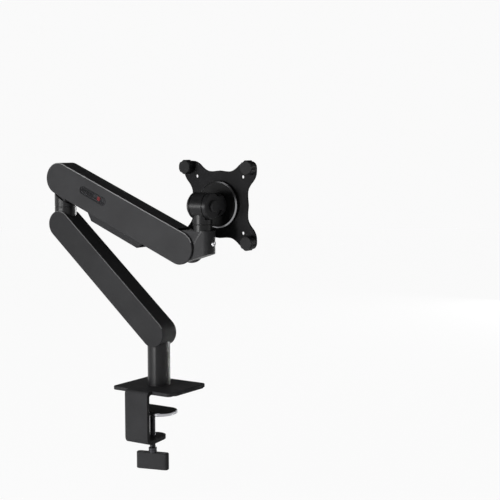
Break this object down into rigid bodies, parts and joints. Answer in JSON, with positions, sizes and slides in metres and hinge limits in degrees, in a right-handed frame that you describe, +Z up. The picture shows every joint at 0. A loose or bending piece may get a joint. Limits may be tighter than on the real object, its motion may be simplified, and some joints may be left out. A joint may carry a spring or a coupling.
{
  "type": "monitor arm",
  "caption": "Desk-clamped spring arm for a screen: slanted lower arm, sprung parallelogram upper arm, swivel and tilt head, concave square screen plate with knobs.",
  "frame": {"origin": "middle of the post on the desk top, at the underside of the base pad", "axes": "+X along the desk edge to the right as seen from behind the screen, +Y over the desk towards the screen, +Z up"},
  "size_m": [0.3226, 0.101, 0.4217],
  "materials": {
    "coated_steel": "matte black powder coat",
    "coated_casting": "satin black coat on die-cast aluminium",
    "black_plastic": "fine texture",
    "grey_plastic": "fine texture",
    "rubber": "matte",
    "steel": "zinc plated",
    "bright_steel": "bright plated",
    "spring_tube": "gloss black",
    "zinc": "as cast zinc",
    "nylon": "self-lubricating nylon",
    "smoked_window": "smoked clear plastic",
    "pointer_red": "plain"
  },
  "bodies": {
    "base": {"base_plate": "coated_steel", "base_pad": "rubber", "clamp_bracket": "coated_steel", "bracket_screw_left": "steel", "bracket_screw_right": "steel", "post_spigot": "steel", "spigot_bolt": "steel"},
    "clamp_jaw": {"pressure_plate": "coated_casting", "pressure_pad": "rubber"},
    "clamp_screw": {"clamp_spindle": "steel", "clamp_handle": "black_plastic"},
    "lower_arm": {"lower_arm_casting": "coated_casting", "lower_cable_cover": "grey_plastic", "post_bush_lower": "nylon", "post_bush_upper": "nylon", "post_washer": "nylon", "post_set_screw": "steel", "elbow_set_screw": "steel", "elbow_bush": "nylon"},
    "elbow": {"elbow_knuckle": "coated_casting", "elbow_shaft": "steel", "elbow_washer": "nylon", "elbow_tie_pin": "steel"},
    "upper_arm": {"upper_arm_casting": "coated_casting", "gauge_window": "smoked_window", "cable_cover": "grey_plastic", "elbow_pivot_pin": "steel", "head_pivot_pin": "steel"},
    "tie": {"tie_bar": "steel"},
    "tension_adjuster": {"tension_screw": "steel"},
    "tension_carriage": {"tension_nut": "zinc", "gauge_pointer": "pointer_red", "spring_anchor_pin": "steel", "gas_spring_cylinder": "spring_tube"},
    "spring_rod": {"gas_spring_rod": "bright_steel"},
    "head": {"head_knuckle": "coated_casting", "head_tie_pin": "steel", "spring_end_pin": "steel", "head_set_screw": "bright_steel", "swivel_bush": "nylon"},
    "head_swivel": {"swivel_barrel": "coated_casting", "swivel_washer": "nylon", "swivel_shaft": "steel"},
    "tilt_head": {"tilt_yoke": "coated_casting", "tilt_bolt": "steel", "tilt_nut": "steel", "hub_cap": "black_plastic", "friction_washer_left": "nylon", "friction_washer_right": "nylon", "rotation_bolt": "steel", "rotation_disc": "coated_casting", "rotation_washer": "nylon"},
    "screen_plate": {"vesa_plate": "coated_steel", "thumb_screw_top_left": "black_plastic", "thumb_screw_top_right": "black_plastic", "thumb_screw_bottom_left": "black_plastic", "thumb_screw_bottom_right": "black_plastic"}
  },
  "joints": [
    {"name": "clamp_travel", "type": "slide", "parent": "base", "child": "clamp_jaw", "axis": [0, 0, 1], "range_m": [-0.026, 0.011]},
    {"name": "clamp_turn", "type": "hinge", "parent": "clamp_jaw", "child": "clamp_screw", "pos_m": [0, -0.0155, -0.06], "axis": [0, 0, 1], "range_deg": [-7550, 3240]},
    {"name": "base_swivel", "type": "hinge", "parent": "base", "child": "lower_arm", "pos_m": [0, 0, 0.04], "axis": [0, 0, 1], "range_deg": [-180, 180]},
    {"name": "elbow_swivel", "type": "hinge", "parent": "lower_arm", "child": "elbow", "pos_m": [-0.166, 0, 0.246], "axis": [0, 0, 1], "range_deg": [-180, 180]},
    {"name": "lift", "type": "hinge", "parent": "elbow", "child": "upper_arm", "pos_m": [-0.166, 0, 0.287], "axis": [0, -1, 0], "range_deg": [-10, 52]},
    {"name": "tie_link", "type": "hinge", "parent": "elbow", "child": "tie", "pos_m": [-0.166, 0, 0.275], "axis": [0, -1, 0], "range_deg": [-10.5, 52.5]},
    {"name": "head_level", "type": "hinge", "parent": "upper_arm", "child": "head", "pos_m": [0.046, 0, 0.198], "axis": [0, -1, 0], "range_deg": [-52.5, 10.5]},
    {"name": "tension_feed", "type": "slide", "parent": "upper_arm", "child": "tension_carriage", "axis": [0.922, 0, -0.3871], "range_m": [-0.012, 0.008]},
    {"name": "tension_turn", "type": "hinge", "parent": "upper_arm", "child": "tension_adjuster", "pos_m": [-0.12519, 0, 0.28087], "axis": [0.922, 0, -0.3871], "range_deg": [-4365, 2925]},
    {"name": "spring_stroke", "type": "slide", "parent": "upper_arm", "child": "spring_rod", "axis": [0.922, 0, -0.3871], "range_m": [-0.002, 0.0098]},
    {"name": "head_turn", "type": "hinge", "parent": "head", "child": "head_swivel", "pos_m": [0.075, 0, 0.2295], "axis": [0, 0, 1], "range_deg": [-180, 0]},
    {"name": "tilt", "type": "hinge", "parent": "head_swivel", "child": "tilt_head", "pos_m": [0.075, 0, 0.2545], "axis": [1, 0, 0], "range_deg": [-5, 80]},
    {"name": "plate_rotation", "type": "hinge", "parent": "tilt_head", "child": "screen_plate", "pos_m": [0.075, 0.039, 0.2545], "axis": [0, 1, 0], "range_deg": [-90, 90]}
  ],
  "couplings": [
    {"joint": "clamp_turn", "follows": "clamp_travel", "rad_per_m": 5026.5},
    {"joint": "tie_link", "follows": "lift", "ratio": 1},
    {"joint": "head_level", "follows": "lift", "ratio": -1},
    {"joint": "spring_stroke", "follows": "lift", "m_per_rad": 0.010585},
    {"joint": "tension_turn", "follows": "tension_feed", "rad_per_m": 6283.2}
  ]
}
